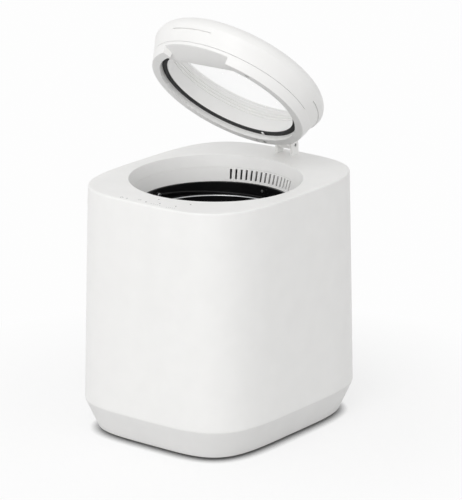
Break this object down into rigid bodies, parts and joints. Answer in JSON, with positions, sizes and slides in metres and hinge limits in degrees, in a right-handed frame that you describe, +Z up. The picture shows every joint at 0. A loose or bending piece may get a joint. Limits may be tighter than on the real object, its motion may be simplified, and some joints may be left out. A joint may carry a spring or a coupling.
{
  "type": "electric food waste composter",
  "caption": "Electric kitchen composter: squared white body, round hinged lid with a window standing open, black lift-out bucket with a stirrer, geared drive, rear filter drawer.",
  "frame": {"origin": "on the ground, below the middle of the body's outline", "axes": "+Z up; the front, with the lid's finger notch and the panel, faces -Y; the hinge, filter drawer and power inlet are at +Y; +X is to the right seen from the front"},
  "size_m": [0.2716, 0.3276, 0.5425],
  "materials": {
    "shell_white": "satin",
    "skirt_white": "satin",
    "rubber": "matte",
    "steel": "satin",
    "aluminium": "satin",
    "dark_plastic": "matte",
    "black_plastic": "matte",
    "circuit_board": "satin",
    "lens_grey": "gloss",
    "heater_foil": "satin",
    "felt": "matte",
    "copper": "satin",
    "brass": "satin",
    "clear_window": "gloss",
    "bucket_black": "satin",
    "gear_plastic": "satin",
    "carbon": "matte"
  },
  "bodies": {
    "body": {"body_shell": "shell_white", "base_skirt": "skirt_white", "rubber_feet": "rubber", "base_screws": "steel", "vent_collar": "shell_white", "panel_frame": "dark_plastic", "panel_board": "circuit_board", "indicator_lenses": "lens_grey", "lid_sensor": "dark_plastic", "hinge_bracket": "shell_white", "hinge_pin": "steel", "heater_well": "aluminium", "heater_band": "heater_foil", "well_insulation": "felt", "thermostat": "dark_plastic", "well_posts": "steel", "drive_frame": "steel", "gearbox_housing": "dark_plastic", "gearbox_cover": "dark_plastic", "gearbox_screws": "steel", "output_bearings": "steel", "idler_pins": "steel", "motor_can": "steel", "motor_stator": "copper", "motor_screws": "steel", "air_duct": "dark_plastic", "filter_bay": "dark_plastic", "fan_duct": "dark_plastic", "fan_frame": "black_plastic", "power_inlet": "black_plastic", "board_bracket": "steel", "main_board": "circuit_board", "board_components": "dark_plastic"},
    "lid": {"lid_skirt": "shell_white", "lid_cover": "shell_white", "lid_rear_cap": "shell_white", "lid_liner": "shell_white", "lid_window": "clear_window", "lid_gasket": "rubber", "lid_arm": "shell_white", "lid_arm_screws": "steel", "lid_magnet": "steel"},
    "bucket": {"bucket": "bucket_black", "shaft_bush": "brass", "shaft_seal": "rubber", "bail_rivets": "steel"},
    "bail": {"bail": "steel"},
    "stirrer": {"stirrer_shaft": "steel", "stirrer_blades": "bucket_black"},
    "output": {"output_gear": "steel"},
    "idler_1": {"idler_gear_1": "gear_plastic"},
    "idler_2": {"idler_gear_2": "gear_plastic"},
    "motor": {"motor_rotor": "steel"},
    "fan": {"fan_rotor": "black_plastic"},
    "drawer": {"filter_drawer": "shell_white", "carbon_filter": "carbon"}
  },
  "joints": [
    {"name": "lid_hinge", "type": "hinge", "parent": "body", "child": "lid", "pos_m": [0, 0.1433, 0.343], "axis": [-1, 0, 0], "range_deg": [-44.5, 25.5]},
    {"name": "bucket_lift", "type": "slide", "parent": "body", "child": "bucket", "axis": [0, 0, 1], "range_m": [0, 0.01]},
    {"name": "bail_swing", "type": "hinge", "parent": "bucket", "child": "bail", "pos_m": [0, -0.0084, 0.289], "axis": [1, 0, 0], "range_deg": [0, 189.2]},
    {"name": "stirrer_spin", "type": "hinge", "parent": "bucket", "child": "stirrer", "pos_m": [0, -0.0084, 0.15], "axis": [0, 0, 1], "continuous": true},
    {"name": "output_spin", "type": "hinge", "parent": "body", "child": "output", "pos_m": [0, -0.0084, 0.09], "axis": [0, 0, 1], "continuous": true},
    {"name": "idler_2_spin", "type": "hinge", "parent": "body", "child": "idler_2", "pos_m": [0.04933, 0.00956, 0.09], "axis": [0, 0, 1], "continuous": true},
    {"name": "idler_1_spin", "type": "hinge", "parent": "body", "child": "idler_1", "pos_m": [0.03296, 0.04468, 0.08], "axis": [0, 0, 1], "continuous": true},
    {"name": "motor_spin", "type": "hinge", "parent": "body", "child": "motor", "pos_m": [-0.00151, 0.0386, 0.05], "axis": [0, 0, 1], "continuous": true},
    {"name": "fan_spin", "type": "hinge", "parent": "body", "child": "fan", "pos_m": [0, 0.15, 0.128], "axis": [0, 1, 0], "continuous": true},
    {"name": "drawer_slide", "type": "slide", "parent": "body", "child": "drawer", "axis": [0, 1, 0], "range_m": [0, 0.045]}
  ],
  "couplings": [
    {"joint": "stirrer_spin", "follows": "output_spin", "ratio": 1},
    {"joint": "idler_2_spin", "follows": "output_spin", "ratio": -4},
    {"joint": "idler_1_spin", "follows": "output_spin", "ratio": 13.714},
    {"joint": "motor_spin", "follows": "output_spin", "ratio": -54.857}
  ]
}
